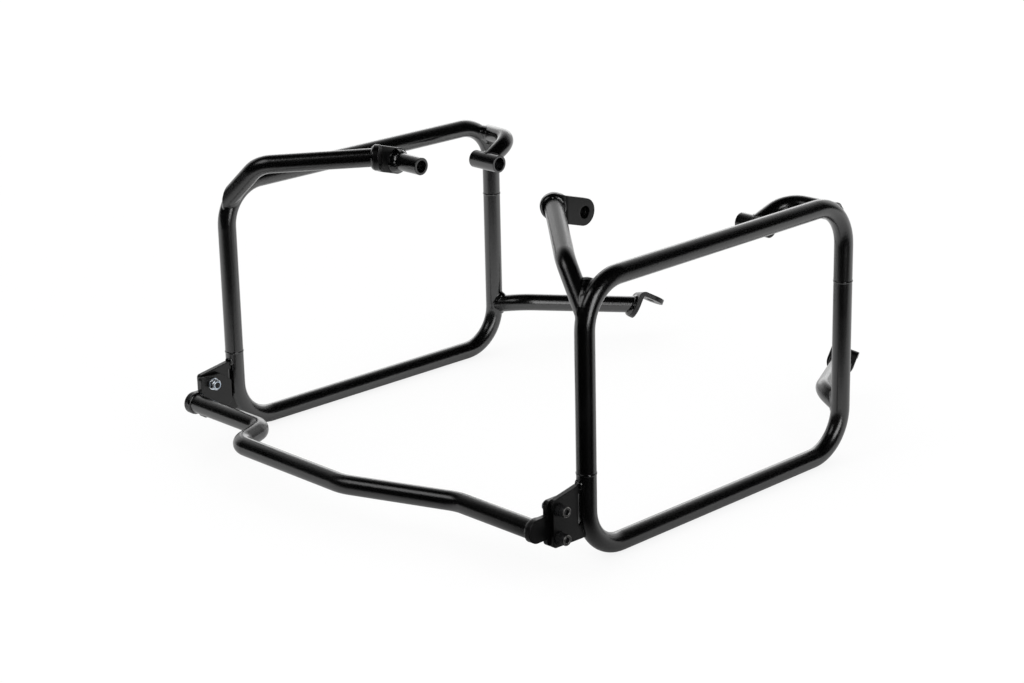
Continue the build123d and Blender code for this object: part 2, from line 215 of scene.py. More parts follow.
@labelled
class StudioSettings(bpy.types.PropertyGroup):
    """The camera, floor and lights."""

    eye: lengths("The camera from the ground amid the hoops", (1665.1, -1619.49, 878.7))
    yaw: degrees("The way that the camera looks, from straight ahead to the left", 46.29)
    pitch: degrees("How far the camera looks down", 18.39)
    roll: degrees("How far the camera is tipped", 1.27)
    lens: strength("Focal length in millimetres on a 36 mm wide frame", 88.49)
    floor: share("How pale the floor is", 0.92)
    floor_size: mm("Side of the floor", 60000.0)
    floor_lift: share("How much of the floor shows as plain white", 0.84)
    # The floor's reach, fade and shade set the painted shade that the floor shows in reflections alone
    floor_reach: mm("How far the white floor goes towards the camera", 260.0)
    floor_fade: mm("How much farther the white floor takes to go dark", 220.0)
    floor_shade: share("How much dimmer the floor's front is in reflections", 0.4)
    fill: strength("Strength of the light from all round", 1.0)
    dark_side: share("How bright the open side of the cove is in reflections", 0.005)
    wall_height: share("Sine of the height up to which the cove's back is white", 0.42)
    wall_fade: share("How much farther up the cove's back takes to go dark", 0.46)
    left_box: strength("Power of the left softbox in watts", 3.0)
    right_box: strength("Power of the right softbox in watts", 12.0)
    back_box: strength("Power of the low softbox behind the frame in watts", 13.0)


# Shader maths


class Value:
    """A socket that Python's operators work on."""

    def __init__(self, nodes, socket):
        self.nodes = nodes
        self.socket = socket

    def other(self, name):
        """Another output of the same node."""
        return Value(self.nodes, self.socket.node.outputs[name])

    def math(self, operation, first, second):
        """One Math node."""
        return self.nodes.add("ShaderNodeMath", {0: first, 1: second}, operation=operation)

    def __add__(self, other):
        return self.math("ADD", self, other)

    def __radd__(self, other):
        return self.math("ADD", other, self)

    def __sub__(self, other):
        return self.math("SUBTRACT", self, other)

    def __rsub__(self, other):
        return self.math("SUBTRACT", other, self)

    def __mul__(self, other):
        return self.math("MULTIPLY", self, other)

    def __rmul__(self, other):
        return self.math("MULTIPLY", other, self)


class Nodes:
    """The nodes of one material or world."""

    def __init__(self, owner):
        owner.use_nodes = True
        self.tree = owner.node_tree
        self.tree.nodes.clear()

    def add(self, kind, sockets=None, output=0, **settings):
        """Adds a node with its settings, then its sockets' values or links, and gives one of its outputs."""
        node = self.tree.nodes.new(kind)
        for name, value in settings.items():
            setattr(node, name, value)
        for name, value in (sockets or {}).items():
            if isinstance(value, Value):
                self.tree.links.new(value.socket, node.inputs[name])
            else:
                node.inputs[name].default_value = value
        return Value(self, node.outputs[output]) if node.outputs else None

    def place(self, kind):
        """Where a point lies, in the object's own or the world's generated coordinates."""
        return self.add("ShaderNodeTexCoord", output=kind)

    def noise(self, place, scale, detail, roughness):
        """Noise from nought to one at a number of grains to the metre."""
        sockets = {"Vector": place, "Scale": scale, "Detail": detail, "Roughness": roughness}
        return self.add("ShaderNodeTexNoise", sockets, noise_dimensions="3D")

    def ramp(self, value, low, high, start=0.0, end=1.0):
        """A smooth step from start to end while a value goes from low to high."""
        sockets = {"Value": value, "From Min": low, "From Max": high, "To Min": start, "To Max": end}
        return self.add("ShaderNodeMapRange", sockets, interpolation_type="SMOOTHSTEP")

    def blend(self, factor, first, second):
        """A mix of two colours, given without alpha."""
        sockets = {0: factor, 6: (*first, 1.0), 7: (*second, 1.0)}
        return self.add("ShaderNodeMix", sockets, output=2, data_type="RGBA")

    def along(self, place, way):
        """How far a place lies along a way."""
        return self.add("ShaderNodeVectorMath", {0: place, 1: way}, output="Value", operation="DOT_PRODUCT")

    def bump(self, height, depth, firmness, **under):
        """A normal roughened by a height of some depth, laid over another Normal if one is given."""
        sockets = {"Strength": firmness, "Distance": depth, "Height": height}
        return self.add("ShaderNodeBump", {**sockets, **under})

    def surface(self, sockets, constants):
        """A Principled surface as the material's output."""
        shader = self.add("ShaderNodeBsdfPrincipled", {**sockets, **constants}, output="BSDF")
        self.add("ShaderNodeOutputMaterial", {"Surface": shader})


# Finishes, whose noises are each given by grains to the metre, detail and roughness

COAT_PEEL = (620.0, 2.0, 0.5)
COAT_GRAIN = (1900.0, 2.0, 0.6)
COAT_PATCHES = (16.0, 3.0, 0.6)
COAT_DUST = (2600.0, 1.0, 0.5)
OXIDE_MOTTLE = (900.0, 4.0, 0.6)
OXIDE_GRAIN = (5200.0, 2.0, 0.5)
ZINC_CLOUDS = (240.0, 3.0, 0.55)
ZINC_MARKS = (3200.0, 3.0, 0.7)
NYLON_CLOUDS = (700.0, 2.0, 0.5)
TUBE_PEEL_DEPTH = 0.00011
PLATE_PEEL_DEPTH = 0.00009
WELD_PEEL_DEPTH = 0.00008
OXIDE_DEPTH = 0.00004
ZINC_DEPTH = 0.00003
NYLON_DEPTH = 0.00004
COAT_EDGE_RADIUS = 0.0011
OXIDE_INDEX = 1.5
NYLON_INDEX = 1.53


def powder_coat(nodes, place, settings, roughness, index, depth):
    """Satin black powder coat: a fine orange peel with a finer grain in it, dulled a little in patches."""
    peel = nodes.noise(place, *COAT_PEEL)
    grain = nodes.noise(place, *COAT_GRAIN)
    patches = nodes.noise(place, *COAT_PATCHES)
    dust = nodes.ramp(nodes.noise(place, *COAT_DUST), 0.7, 0.78)
    rubbed = nodes.ramp(patches, 0.45, 0.75) * 0.5 + dust * 0.4
    shade = nodes.blend(rubbed, settings.coat, settings.coat_rub)
    sheen = (patches - 0.5) * 0.14 + (grain - 0.5) * 0.16 + roughness
    eased = nodes.add("ShaderNodeBevel", {"Radius": COAT_EDGE_RADIUS}, samples=6)
    bump = nodes.bump(peel * 0.7 + grain * 0.3, depth, 1.0, Normal=eased)
    nodes.surface({"Base Color": shade, "Roughness": sheen, "Normal": bump}, {"IOR": index})


def black_oxide(nodes, place, settings):
    """Black oxide on steel, rubbed through to bright metal where the wear attribute says."""
    wear = nodes.add("ShaderNodeAttribute", output="Fac", attribute_name="wear")
    mottle = nodes.noise(place, *OXIDE_MOTTLE)
    grain = nodes.noise(place, *OXIDE_GRAIN)
    bare = nodes.ramp(wear * 0.75 + mottle * 0.5, 0.62, 0.98)
    shade = nodes.blend(bare, settings.oxide, settings.bare_steel)
    sheen = 0.36 - bare * 0.1 + (mottle - 0.5) * 0.16
    metal = 0.45 + bare * 0.55
    bump = nodes.bump(mottle * 0.6 + grain * 0.4, OXIDE_DEPTH, 0.6)
    sockets = {"Base Color": shade, "Roughness": sheen, "Metallic": metal, "Normal": bump}
    nodes.surface(sockets, {"IOR": OXIDE_INDEX})


def zinc_plate(nodes, place, settings):
    """Bright zinc plate with a faint blue passivation and fine handling marks."""
    clouds = nodes.noise(place, *ZINC_CLOUDS)
    marks = nodes.noise(place, *ZINC_MARKS)
    shade = nodes.blend(nodes.ramp(clouds, 0.38, 0.68), settings.zinc, settings.zinc_tint)
    sheen = 0.24 + (marks - 0.5) * 0.2 + clouds * 0.08
    bump = nodes.bump(marks, ZINC_DEPTH, 0.5)
    nodes.surface({"Base Color": shade, "Roughness": sheen, "Normal": bump}, {"Metallic": 1.0})


def nylon(nodes, place, settings):
    """The lock nut's moulded nylon insert."""
    clouds = nodes.noise(place, *NYLON_CLOUDS)
    pale = tuple(0.5 + 0.5 * channel for channel in settings.nylon)
    shade = nodes.blend(clouds * 0.5, settings.nylon, pale)
    bump = nodes.bump(clouds, NYLON_DEPTH, 0.4)
    sheen = 0.4 + clouds * 0.15
    nodes.surface({"Base Color": shade, "Roughness": sheen, "Normal": bump}, {"IOR": NYLON_INDEX})


def finish_named(name, maker, *values):
    """A material that is made the first time it is asked for."""
    material = bpy.data.materials.get(name)
    if not material:
        material = bpy.data.materials.new(name)
        nodes = Nodes(material)
        maker(nodes, nodes.place("Object"), *values)
    return material


# Modelling helpers

DOUBLED_GAP = 0.000002
SLIVER_SIZE = 0.000004


def start_clean():
    """Leaves edit mode and selects nothing, because an operator acts on all that is selected."""
    if bpy.context.object and bpy.context.object.mode != "OBJECT":
        bpy.ops.object.mode_set(mode="OBJECT")
    bpy.ops.object.select_all(action="DESELECT")


def select(*pieces):
    """Selects these objects alone, the first of them active."""
    start_clean()
    for piece in pieces:
        piece.select_set(True)
    bpy.context.view_layer.objects.active = pieces[0]


@contextmanager
def editing(piece):
    """Edit mode on one piece, with the whole of it selected."""
    select(piece)
    bpy.ops.object.mode_set(mode="EDIT")
    bpy.ops.mesh.select_all(action="SELECT")
    yield
    bpy.ops.object.mode_set(mode="OBJECT")


def pick(test):
    """In edit mode, selects the vertices that pass a test of their place, and nothing else."""
    bpy.ops.mesh.select_mode(type="VERT")
    mesh = bpy.context.object.data
    shape = bmesh.from_edit_mesh(mesh)
    for vertex in shape.verts:
        vertex.select_set(False)
    for vertex in shape.verts:
        if test(vertex.co):
            vertex.select_set(True)
    shape.select_flush_mode()
    bmesh.update_edit_mesh(mesh)


def extrude(step):
    """In edit mode, extrudes what is selected by a step."""
    bpy.ops.mesh.extrude_region_move(TRANSFORM_OT_translate={"value": step})


def widen(grow):
    """In edit mode, scales what is selected about the upright axis."""
    bpy.ops.transform.resize(value=(grow, grow, 1.0), center_override=ORIGIN)


def close_up():
    """In edit mode, merges doubled points and turns the faces outwards."""
    bpy.ops.mesh.select_all(action="SELECT")
    bpy.ops.mesh.remove_doubles(threshold=DOUBLED_GAP)
    bpy.ops.mesh.normals_make_consistent(inside=False)


def apply_modifier(piece, kind, **settings):
    """Adds a modifier, sets it and applies it."""
    select(piece)
    modifier = piece.modifiers.new(kind.title(), kind)
    for name, value in settings.items():
        setattr(modifier, name, value)
    bpy.ops.object.modifier_apply(modifier=modifier.name)


def combine(piece, tool, operation):
    """Cuts a piece with a tool, or joins the two, then takes the tool and the slivers away."""
    apply_modifier(piece, "BOOLEAN", operation=operation, solver="EXACT", object=tool)
    bpy.data.objects.remove(tool)
    with editing(piece):
        bpy.ops.mesh.dissolve_degenerate(threshold=SLIVER_SIZE)


def settle(piece):
    """Puts a piece's place into its mesh, so that its object sits at the origin."""
    select(piece)
    bpy.ops.object.transform_apply(location=True, rotation=True, scale=True)


def added(primitive, **settings):
    """A primitive with its place in its mesh."""
    start_clean()
    primitive(**settings)
    piece = bpy.context.object
    settle(piece)
    return piece


def disc(sides, radius, place):
    """A flat disc."""
    circle = bpy.ops.mesh.primitive_circle_add
    return added(circle, vertices=sides, radius=radius, fill_type="NGON", location=place)


def turned(profile, sides):
    """A solid of rings, extruded from a disc through a profile of radius and height."""
    radius, height = profile[0]
    piece = disc(sides, radius, (0.0, 0.0, height))
    with editing(piece):
        for next_radius, next_height in profile[1:]:
            extrude((0.0, 0.0, next_height - height))
            widen(next_radius / radius)
            radius, height = next_radius, next_height
        close_up()
    return piece


def copies(master, places):
    """Copies of a shape, each with its own mesh, at the places given as matrices."""
    made = []
    for place in places:
        copy = master.copy()
        copy.data = master.data.copy()
        copy.matrix_world = place
        bpy.context.scene.collection.objects.link(copy)
        made.append(copy)
    return made


def joined(name, parts):
    """One object of several, at the origin."""
    select(*parts)
    if len(parts) > 1:
        bpy.ops.object.join()
    piece = bpy.context.object
    settle(piece)
    piece.name = name
    piece.data.name = name
    return piece


def hand_over(piece, material):
    """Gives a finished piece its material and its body."""
    piece.data.materials.clear()
    piece.data.materials.append(material)
    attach(piece, "root")


# Where the tubes run


class Layout:
    """The runs of the tubes, worked out from their sizes and the record's mounts."""

    def __init__(self, sizes):
        self.sizes = sizes
        rail = mounts["right_rail"]
        self.half_spacing, self.middle, self.top = rail["pos_m"]
        self.radius = rail["dims"]["r_mm"] * 0.001
        self.back = -sizes.hoop_length / 2
        self.front = sizes.hoop_length / 2

    def facing(self, side):
        """The normal of a hoop's plane, to the bike's right."""
        return Vector((math.cos(self.sizes.toe), side * math.sin(self.sizes.toe), 0.0))

    def forward(self, side):
        """The way forward in a hoop's plane."""
        return Vector((-side * math.sin(self.sizes.toe), math.cos(self.sizes.toe), 0.0))

    def on_hoop(self, side, lead, height, outward=0.0):
        """A point on a hoop's plane, or beside it."""
        middle = Vector((side * self.half_spacing, self.middle, height))
        return middle + self.forward(side) * lead + self.facing(side) * (side * outward)

    def beside(self, side, offsets, lead, height):
        """A point set in from a hoop towards the bike, and ahead of and above a lead and a height."""
        inset, ahead, rise = offsets
        return Vector((side * (self.half_spacing - inset), self.middle + (lead + ahead), height + rise))

    def bend_centre(self, side, fore, rise):
        """A bend's centre: fore and rise are 1 for the hoop's front and top, -1 for its rear and foot."""
        bend = self.sizes.bend_radius
        level = self.top - bend if rise > 0 else self.radius + bend
        return self.on_hoop(side, fore * (self.front - bend), level)

    def crotch(self, side, joint, corner, centre):
        """The way from an arm to the side where it makes a sharp corner with the hoop's bend."""
        along = self.facing(side).cross(joint - centre).normalized()
        way = (corner - joint).normalized()
        lean = along.dot(way)
        return ((along - way * lean) * math.copysign(1.0, lean)).normalized()

    def rear_arm(self, name):
        """The joint, corner and end of a rear arm."""
        sizes, side = self.sizes, SIDES[name]
        angle = getattr(sizes, f"{name}_rear_angle")
        radius = sizes.bend_radius + getattr(sizes, f"{name}_rear_offset")
        lead = self.back + sizes.bend_radius - radius * math.cos(angle)
        height = self.top - sizes.bend_radius + radius * math.sin(angle)
        corner = self.beside(side, sizes.rear_corner, self.back, height)
        end = self.beside(side, getattr(sizes, f"{name}_rear_end"), self.back, self.top)
        return self.on_hoop(side, lead, height), corner, end

    def front_arm(self, name):
        """The joint and corner of a front arm, and the middle of its boss."""
        sizes, side = self.sizes, SIDES[name]
        radius = sizes.bend_radius + sizes.front_offset
        lead = self.front - sizes.bend_radius + radius * math.sin(sizes.front_angle)
        height = self.top - sizes.bend_radius + radius * math.cos(sizes.front_angle)
        corner = self.beside(side, sizes.front_corner, self.front, self.top)
        boss = Vector(mounts[f"{name}_front_boss_bore"]["pos_m"])
        return self.on_hoop(side, lead, height), corner, boss

    def peg_arm(self, name):
        """The joint, corner and end of a peg arm."""
        sizes, side = self.sizes, SIDES[name]
        corner = self.beside(side, sizes.peg_corner, self.front, 0.0)
        end = self.beside(side, sizes.peg_end, self.front, 0.0)
        return self.on_hoop(side, self.front, sizes.peg_joint_height), corner, end


# Weld beads

PLATES = ("strap", "gusset", "plate")
TUBE_SIDES = 64
BEND_STEPS = 30
BALL_STOPS = 200
BALL_TRIES = 80
BALL_GAP = 0.00001
SEAM_STEPS = 120
GUSSET_STEPS = 24
RIPPLE_SEGMENTS = 10
RIPPLE_RINGS = 6
RIPPLE_BACK = -0.01
RIPPLE_TAIL = (1.3, 0.96, 0.94)
SMOOTH_SHARE = 0.5
SMOOTH_ROUNDS = 3
BEND_SMOOTH_ROUNDS = 12
POST_SMOOTH_ROUNDS = 4
LEAST_BEAD_FACES = 500
ARM_APPROACH_RADII = 3
SPIGOT_APPROACH_RADII = 2
BAR_APPROACH = 0.02
BAR_REACH = 0.03


def surface_of(*nodes):
    """The faces of some CAD nodes, ready for rays to be sent at them."""
    points, faces = [], []
    for node in nodes:
        mesh = frame["nodes"][node].data
        first = len(points)
        points += [vertex.co.copy() for vertex in mesh.vertices]
        faces += [[first + index for index in polygon.vertices] for polygon in mesh.polygons]
    return BVHTree.FromPolygons(points, faces)


def stations(line, pitch, closed):
    """Places a pitch apart along a line of points, ways out and widths, each with the way along."""
    points = [point for point, _, _ in line]
    count = len(points)
    travelled = [0.0]
    for index in range(1, count + (1 if closed else 0)):
        travelled.append(travelled[-1] + (points[index % count] - points[index - 1]).length)
    steps = max(2, round(travelled[-1] / pitch))
    cursor = 0
    for step in range(steps + (0 if closed else 1)):
        stop = travelled[-1] * step / steps
        while cursor + 2 < len(travelled) and travelled[cursor + 1] < stop:
            cursor += 1
        part = (stop - travelled[cursor]) / max(travelled[cursor + 1] - travelled[cursor], 1e-9)
        here, there = cursor % count, (cursor + 1) % count
        out = line[here][1].lerp(line[there][1], part)
        width = line[here][2] + (line[there][2] - line[here][2]) * part
        before = points[(here - 2) % count] if closed else points[max(here - 2, 0)]
        after = points[(there + 2) % count] if closed else points[min(there + 2, count - 1)]
        along = (after - before).normalized()
        level = (out - along * out.dot(along)).normalized()
        yield points[here].lerp(points[there], part), along, level, width


def ripple():
    """One ripple of a bead, two units wide and high: a lens with a steep front and a long tail."""
    sphere = bpy.ops.mesh.primitive_uv_sphere_add
    piece = added(sphere, segments=RIPPLE_SEGMENTS, ring_count=RIPPLE_RINGS, radius=1.0)
    with editing(piece):
        pick(lambda place: place.x < RIPPLE_BACK)
        bpy.ops.transform.resize(value=RIPPLE_TAIL, center_override=ORIGIN)
    return piece


def plain_stub(joint, corner, length, radius, cut, cut_normal):
    """A solid copy of an arm's straight end, cut off at the plane where the arm is."""
    way = (joint - corner).normalized()
    over = 2 * radius
    piece = added(
        bpy.ops.mesh.primitive_cylinder_add, vertices=TUBE_SIDES, radius=radius, depth=length + over,
        location=joint + way * (over - length) / 2, rotation=way.to_track_quat("Z", "Y").to_euler(),
    )
    with editing(piece):
        bpy.ops.mesh.bisect(plane_co=cut, plane_no=cut_normal, use_fill=True, clear_outer=True)
        close_up()
    return piece


def plain_bend(layout, side, fore, rise, run):
    """A solid copy of the bend of a hoop that fore and rise name, with some straight tube at its ends."""
    centre = layout.bend_centre(side, fore, rise)
    foot = layout.on_hoop(side, fore * layout.front, centre.z - rise * run)
    piece = disc(TUBE_SIDES, layout.radius, foot)
    axis = layout.facing(side) * (-fore * rise)
    with editing(piece):
        extrude((0.0, 0.0, rise * run))
        bpy.ops.mesh.spin(steps=BEND_STEPS, angle=math.pi / 2, center=centre, axis=axis)
        extrude(layout.forward(side) * (-fore * run))
        close_up()
    return piece


class WeldShop:
    """What every weld needs: sizes, the tubes' runs, and a coat that lies glossier on a bead."""

    def __init__(self, scene):
        self.sizes = scene.pannier_tubes
        self.weld = scene.pannier_welds
        self.layout = Layout(self.sizes)
        finish = scene.pannier_finish
        looks = (finish.weld_roughness, finish.coat_index, WELD_PEEL_DEPTH)
        self.coat = finish_named("weld_coat", powder_coat, finish, *looks)

    def fillet(self, surface, start, way, radius, least, stop, stop_normal, crotch=UP, swell=0.0):
        """The middle line of a bead between a tube and a surface, as points, ways out and widths.
        It runs midway between the spots where a ball that rolls round the corner rests on the two.
        Where the tube ends before the ball meets the surface, the ball waits at the tube's end.
        The ball swells towards the crotch."""
        across = way.orthogonal().normalized()
        over = way.cross(across)
        line = []
        for index in range(BALL_STOPS):
            angle = math.tau * index / BALL_STOPS
            out = across * math.cos(angle) + over * math.sin(angle)
            edge = start + out * radius
            ball = least + swell * math.sqrt(max(0.0, 0.5 + 0.5 * out.dot(crotch)))
            reach = (stop - edge).dot(stop_normal) / way.dot(stop_normal)
            travel = 0.0
            for _ in range(BALL_TRIES):
                middle = edge + out * ball + way * travel
                touch, _, _, distance = surface.find_nearest(middle)
                if distance - ball < BALL_GAP or travel >= reach:
                    break
                travel = min(travel + distance - ball, reach)
            rest = edge + way * travel
            point = (rest + touch) / 2
            width = max((rest - touch).length + 2 * self.weld.toe, self.weld.least_width)
            line.append((point, (middle - point).normalized(), width))
        return line

    def bead(self, name, line, crown, closed=True, blended=(), rounds=SMOOTH_ROUNDS):
        """A weld bead: ripples along a line, fused into one skin with the plain solids that it blends into.
        Smoothing draws those solids in a little, so that they hide inside the tubes that they copy."""
        weld = self.weld
        dice = random.Random(name)
        master = ripple()
        places = []
        for point, along, out, width in stations(line, weld.pitch, closed):
            turn = Matrix((along, out.cross(along), out)).transposed().to_4x4()
            uneven = [1.0 + weld.uneven * dice.uniform(-1.0, 1.0) for _ in range(3)]
            half_sizes = (weld.length / 2 * uneven[0], width / 2 * uneven[1], weld.depth * uneven[2])
            spot = point + out * (crown - weld.depth)
            places.append(Matrix.Translation(spot) @ turn @ Matrix.Diagonal((*half_sizes, 1.0)))
        piece = joined(name, copies(master, places) + list(blended))
        bpy.data.objects.remove(master)
        voxel = weld.blend_fuse if blended else weld.fuse
        apply_modifier(piece, "REMESH", mode="VOXEL", voxel_size=voxel, use_smooth_shade=True)
        apply_modifier(piece, "SMOOTH", factor=SMOOTH_SHARE, iterations=rounds)
        hand_over(piece, self.coat)
        return piece


class PieceOperator:
    """What the dressing's operators share."""

    bl_options = {"REGISTER", "UNDO"}

    def need(self, done, what):
        """Stops the script where a piece can't be made."""
        if not done:
            raise RuntimeError(f"{self.bl_label}: {what}")


class CoatNodes(PieceOperator, bpy.types.Operator):
    """Gives every tube, plate, washer and boss of the frame its finish"""

    bl_idname = "pannier.coat_nodes"
    bl_label = "Coat the frame"

    def execute(self, context):
        settings = context.scene.pannier_finish
        tube_looks = (settings.coat_roughness, settings.coat_index, TUBE_PEEL_DEPTH)
        plate_looks = (settings.plate_roughness, settings.plate_index, PLATE_PEEL_DEPTH)
        coat = finish_named("powder_coat_black", powder_coat, settings, *tube_looks)
        plate_coat = finish_named("powder_coat_plate", powder_coat, settings, *plate_looks)
        finishes = {
            "powder_coat": coat,
            "black_bolt": finish_named("black_oxide", black_oxide, settings),
            "zinc": finish_named("zinc_plate", zinc_plate, settings),
        }
        for subpart in frame["record"]["subparts"]:
            name, slot = subpart["node"], subpart["material_slot"]
            self.need(slot in finishes, f"no finish for {name}")
            materials = frame["nodes"][name].data.materials
            materials.clear()
            materials.append(plate_coat if name.endswith(PLATES) else finishes[slot])
        return DONE


class WeldSeams(PieceOperator, bpy.types.Operator):
    """Runs a low bead round each seam where a hoop's two halves meet"""

    bl_idname = "pannier.weld_seams"
    bl_label = "Weld the hoop seams"

    def execute(self, context):
        shop = WeldShop(context.scene)
        layout, weld = shop.layout, shop.weld
        for name, side in SIDES.items():
            rear_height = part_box(f"{name}_hoop_upper")[0].z
            front_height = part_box(f"{name}_hoop_lower")[1].z
            seams = {"rear": (layout.back, rear_height), "front": (layout.front, front_height)}
            for end, (lead, height) in seams.items():
                middle = layout.on_hoop(side, lead, height)
                line = []
                for step in range(SEAM_STEPS):
                    angle = math.tau * step / SEAM_STEPS
                    out = Vector((math.cos(angle), math.sin(angle), 0.0))
                    line.append((middle + out * layout.radius, out, weld.seam_width))
                shop.bead(f"{name}_{end}_seam_weld", line, weld.seam_crown)
        return DONE


class WeldArms(PieceOperator, bpy.types.Operator):
    """Runs a bead round each arm where its coped end meets the hoop"""

    bl_idname = "pannier.weld_arms"
    bl_label = "Weld the arms to the hoops"

    def execute(self, context):
        shop = WeldShop(context.scene)
        layout, weld, sizes = shop.layout, shop.weld, shop.sizes
        on_bend, on_post = BEND_SMOOTH_ROUNDS, POST_SMOOTH_ROUNDS
        for name, side in SIDES.items():
            hoop = surface_of(f"{name}_hoop_upper", f"{name}_hoop_lower")
            facing = layout.facing(side)
            cut = layout.on_hoop(side, 0.0, 0.0, -sizes.cope_inset)
            runs = {
                "rear_arm": (layout.rear_arm(name), sizes.rear_bend, (-1, 1), weld.rear_fillet, on_bend),
                "front_arm": (layout.front_arm(name), sizes.front_bend, (1, 1), weld.arm_fillet, on_bend),
                "peg_arm": (layout.peg_arm(name), sizes.peg_bend, (1, -1), weld.arm_fillet, on_post),
            }
            for arm, ((joint, corner, end), bend, (fore, rise), ball, rounds) in runs.items():
                way = (joint - corner).normalized()
                turn = way.angle(corner - end)
                straight = (joint - corner).length - bend * math.tan(turn / 2)
                crotch = layout.crotch(side, joint, corner, layout.bend_centre(side, fore, rise))
                swell = weld.crotch_swell if arm == "rear_arm" else 0.0
                line = shop.fillet(hoop, corner, way, layout.radius, ball, cut, facing, crotch, swell)
                solids = (
                    plain_stub(joint, corner, straight, layout.radius, cut, facing * side),
                    plain_bend(layout, side, fore, rise, weld.blend_run),
                )
                piece = shop.bead(f"{name}_{arm}_weld", line, weld.crown, blended=solids, rounds=rounds)
                self.need(len(piece.data.polygons) > LEAST_BEAD_FACES, f"no bead on the {name} {arm}")
        return DONE


class WeldArmEnds(PieceOperator, bpy.types.Operator):
    """Runs a bead round each arm's end at its strap or boss, and round each spigot's root"""

    bl_idname = "pannier.weld_arm_ends"
    bl_label = "Weld the straps, bosses and spigots"

    def execute(self, context):
        shop = WeldShop(context.scene)
        layout, weld = shop.layout, shop.weld
        for name in SIDES:
            ends = {
                "rear_strap": (layout.rear_arm(name), weld.strap_fillet, weld.strap_crown),
                "front_boss": (layout.front_arm(name), weld.boss_fillet, weld.crown),
                "peg_strap": (layout.peg_arm(name), weld.strap_fillet, weld.strap_crown),
            }
            for target, ((_, corner, end), ball, crown) in ends.items():
                way = (end - corner).normalized()
                start = end - way * (layout.radius * ARM_APPROACH_RADII)
                plate = surface_of(f"{name}_{target}")
                line = shop.fillet(plate, start, way, layout.radius, ball, end, way)
                shop.bead(f"{name}_{target}_weld", line, crown)
            bore = mounts[f"{name}_spigot_bore"]
            outward = Vector(bore["axis"])
            half_length = bore["dims"]["length_mm"] * 0.001 / 2
            root = Vector(bore["pos_m"]) + outward * (half_length - shop.sizes.plate_thickness)
            low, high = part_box(f"{name}_spigot")
            radius = (high.z - low.z) / 2
            strap = surface_of(f"{name}_rear_strap")
            start = root - outward * (SPIGOT_APPROACH_RADII * radius)
            line = shop.fillet(strap, start, outward, radius, weld.spigot_fillet, root, outward)
            shop.bead(f"{name}_spigot_weld", line, 0.0)
        return DONE


class WeldGussets(PieceOperator, bpy.types.Operator):
    """Runs beads where each gusset's two ends meet the hoop, round both of its faces"""

    bl_idname = "pannier.weld_gussets"
    bl_label = "Weld the gussets"

    def execute(self, context):
        shop = WeldShop(context.scene)
        layout, weld, sizes = shop.layout, shop.weld, shop.sizes
        outside = sizes.gusset_outside
        faces = (outside, outside - sizes.plate_thickness)
        for name, side in SIDES.items():
            hoop = surface_of(f"{name}_hoop_upper", f"{name}_hoop_lower")
            away = layout.facing(side) * side
            ends = {
                "top": (sizes.gusset_top - weld.gusset_leg, sizes.gusset_top, UP, weld.gusset_crown),
                "foot": (sizes.gusset_slot_foot, sizes.gusset_foot, -UP, weld.crown),
            }
            for end, (leg_height, edge_height, edge_way, crown) in ends.items():
                line = []
                for outward, height, out in self.track(*faces, leg_height, edge_height, edge_way, away):
                    origin = layout.on_hoop(side, layout.back - sizes.bend_radius, height, outward)
                    hit, normal, _, _ = hoop.ray_cast(origin, layout.forward(side))
                    self.need(hit is not None, f"the {name} gusset's {end} misses the hoop")
                    line.append((hit, (out + normal).normalized(), weld.gusset_width))
                shop.bead(f"{name}_gusset_{end}_weld", line, crown, closed=False)
        return DONE

    @staticmethod
    def track(outside, inside, leg, edge, edge_way, away):
        """A path along a gusset's outer face, over its edge and back along its inner face."""
        for step in range(GUSSET_STEPS):
            yield outside, leg + (edge - leg) * step / GUSSET_STEPS, away
        for step in range(GUSSET_STEPS):
            yield outside + (inside - outside) * step / GUSSET_STEPS, edge, edge_way
        for step in range(GUSSET_STEPS + 1):
            yield inside, edge + (leg - edge) * step / GUSSET_STEPS, -away


class WeldCrossBar(PieceOperator, bpy.types.Operator):
    """Runs a bead round each end of the cross bar at its plate"""

    bl_idname = "pannier.weld_cross_bar"
    bl_label = "Weld the cross bar's plates"

    def execute(self, context):
        shop = WeldShop(context.scene)
        layout, weld, sizes = shop.layout, shop.weld, shop.sizes
        lead = layout.middle + layout.back - sizes.bar_setback
        for name, side in SIDES.items():
            plate = surface_of(f"{name}_bar_plate")
            low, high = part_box(f"{name}_bar_plate")
            way = Vector((side, 0.0, 0.0))
            inner_face = side * min(abs(low.x), abs(high.x))
            start = Vector((inner_face - side * BAR_APPROACH, lead, sizes.bar_height))
            stop = start + way * BAR_REACH
            line = shop.fillet(plate, start, way, layout.radius, weld.bar_fillet, stop, way)
            shop.bead(f"{name}_bar_weld", line, weld.strap_crown)
        return DONE


# Fasteners

FLATS_TO_CORNERS = math.cos(math.pi / 6)
FIRST_SPIN = 17.0
NEXT_SPIN = 23.0
SIDE_SPIN = 11.0
KNURL_EDGES = 64
# Insets from the bolt head's rim and drops from its top, in chamfers
HEAD_RIM = ((0.0, 1.4), (0.25, 1.0), (1.0, 0.15), (1.4, 0.0), (2.2, 0.0))
SOCKET_POINT = 0.12
SOCKET_SIDES = 48
ROD_SIDES = 40
THREAD_TURNS = 7
THREAD_STEPS = 28
THREAD_GAP = 0.000001
WEAR = {"rim": 0.85, "mouth": 0.65, "ridge": 0.3, "rest": 0.05}
BOLT_CREASE = 28.0
# Shares of the nut collar's radius, and of its height above the hexagon
COLLAR_ROLL = ((1.0, -0.5), (1.0, 0.45), (0.97, 0.75), (0.91, 0.94), (0.86, 1.0))
COLLAR_SIDES = 56
BEVEL_SIDES = 72
BORE_ROOM = 1.035
NUT_CREASE = 30.0
OVERSHOOT = 0.001


